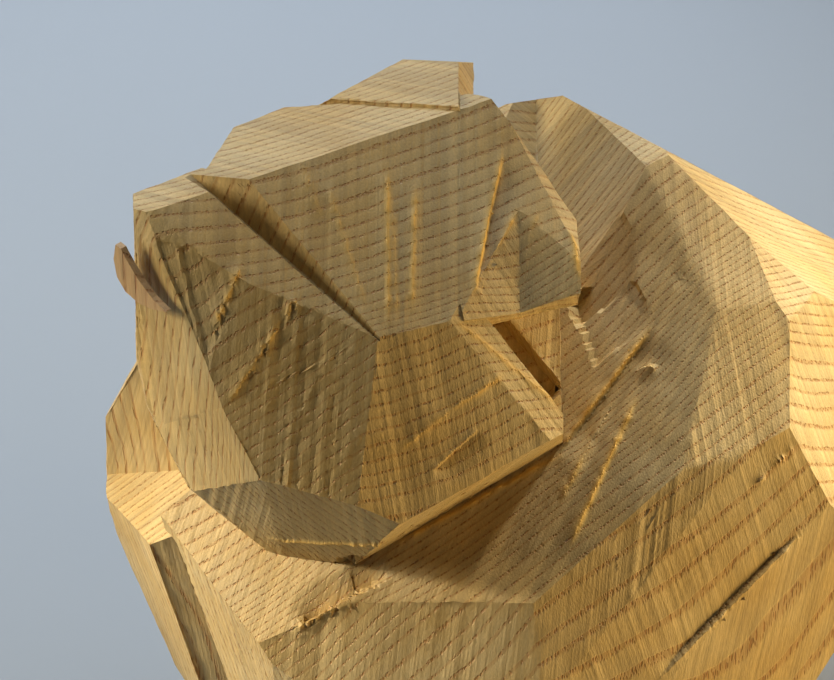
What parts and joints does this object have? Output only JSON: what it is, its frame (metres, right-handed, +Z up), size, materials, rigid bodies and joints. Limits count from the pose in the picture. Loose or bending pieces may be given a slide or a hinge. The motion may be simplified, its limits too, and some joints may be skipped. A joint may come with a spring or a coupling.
{
  "type": "carved wooden animal figure",
  "caption": "Hunched seated animal figure knife-carved from one block of pale wood, flat facets, slit brow, undercut ear, stands on a sawn base.",
  "frame": {"origin": "on the sawn base, below the ridge of the crown's centre line", "axes": "+Z up, -Y the way the face looks, +X the figure's left side"},
  "size_m": [0.1017, 0.1203, 0.1438],
  "materials": {
    "carved_wood": "raw, knife-cut",
    "lifted_flake": "raw, knife-cut"
  },
  "bodies": {
    "root": {"carved_block": "carved_wood", "muzzle_flake": "lifted_flake"}
  },
  "joints": []
}
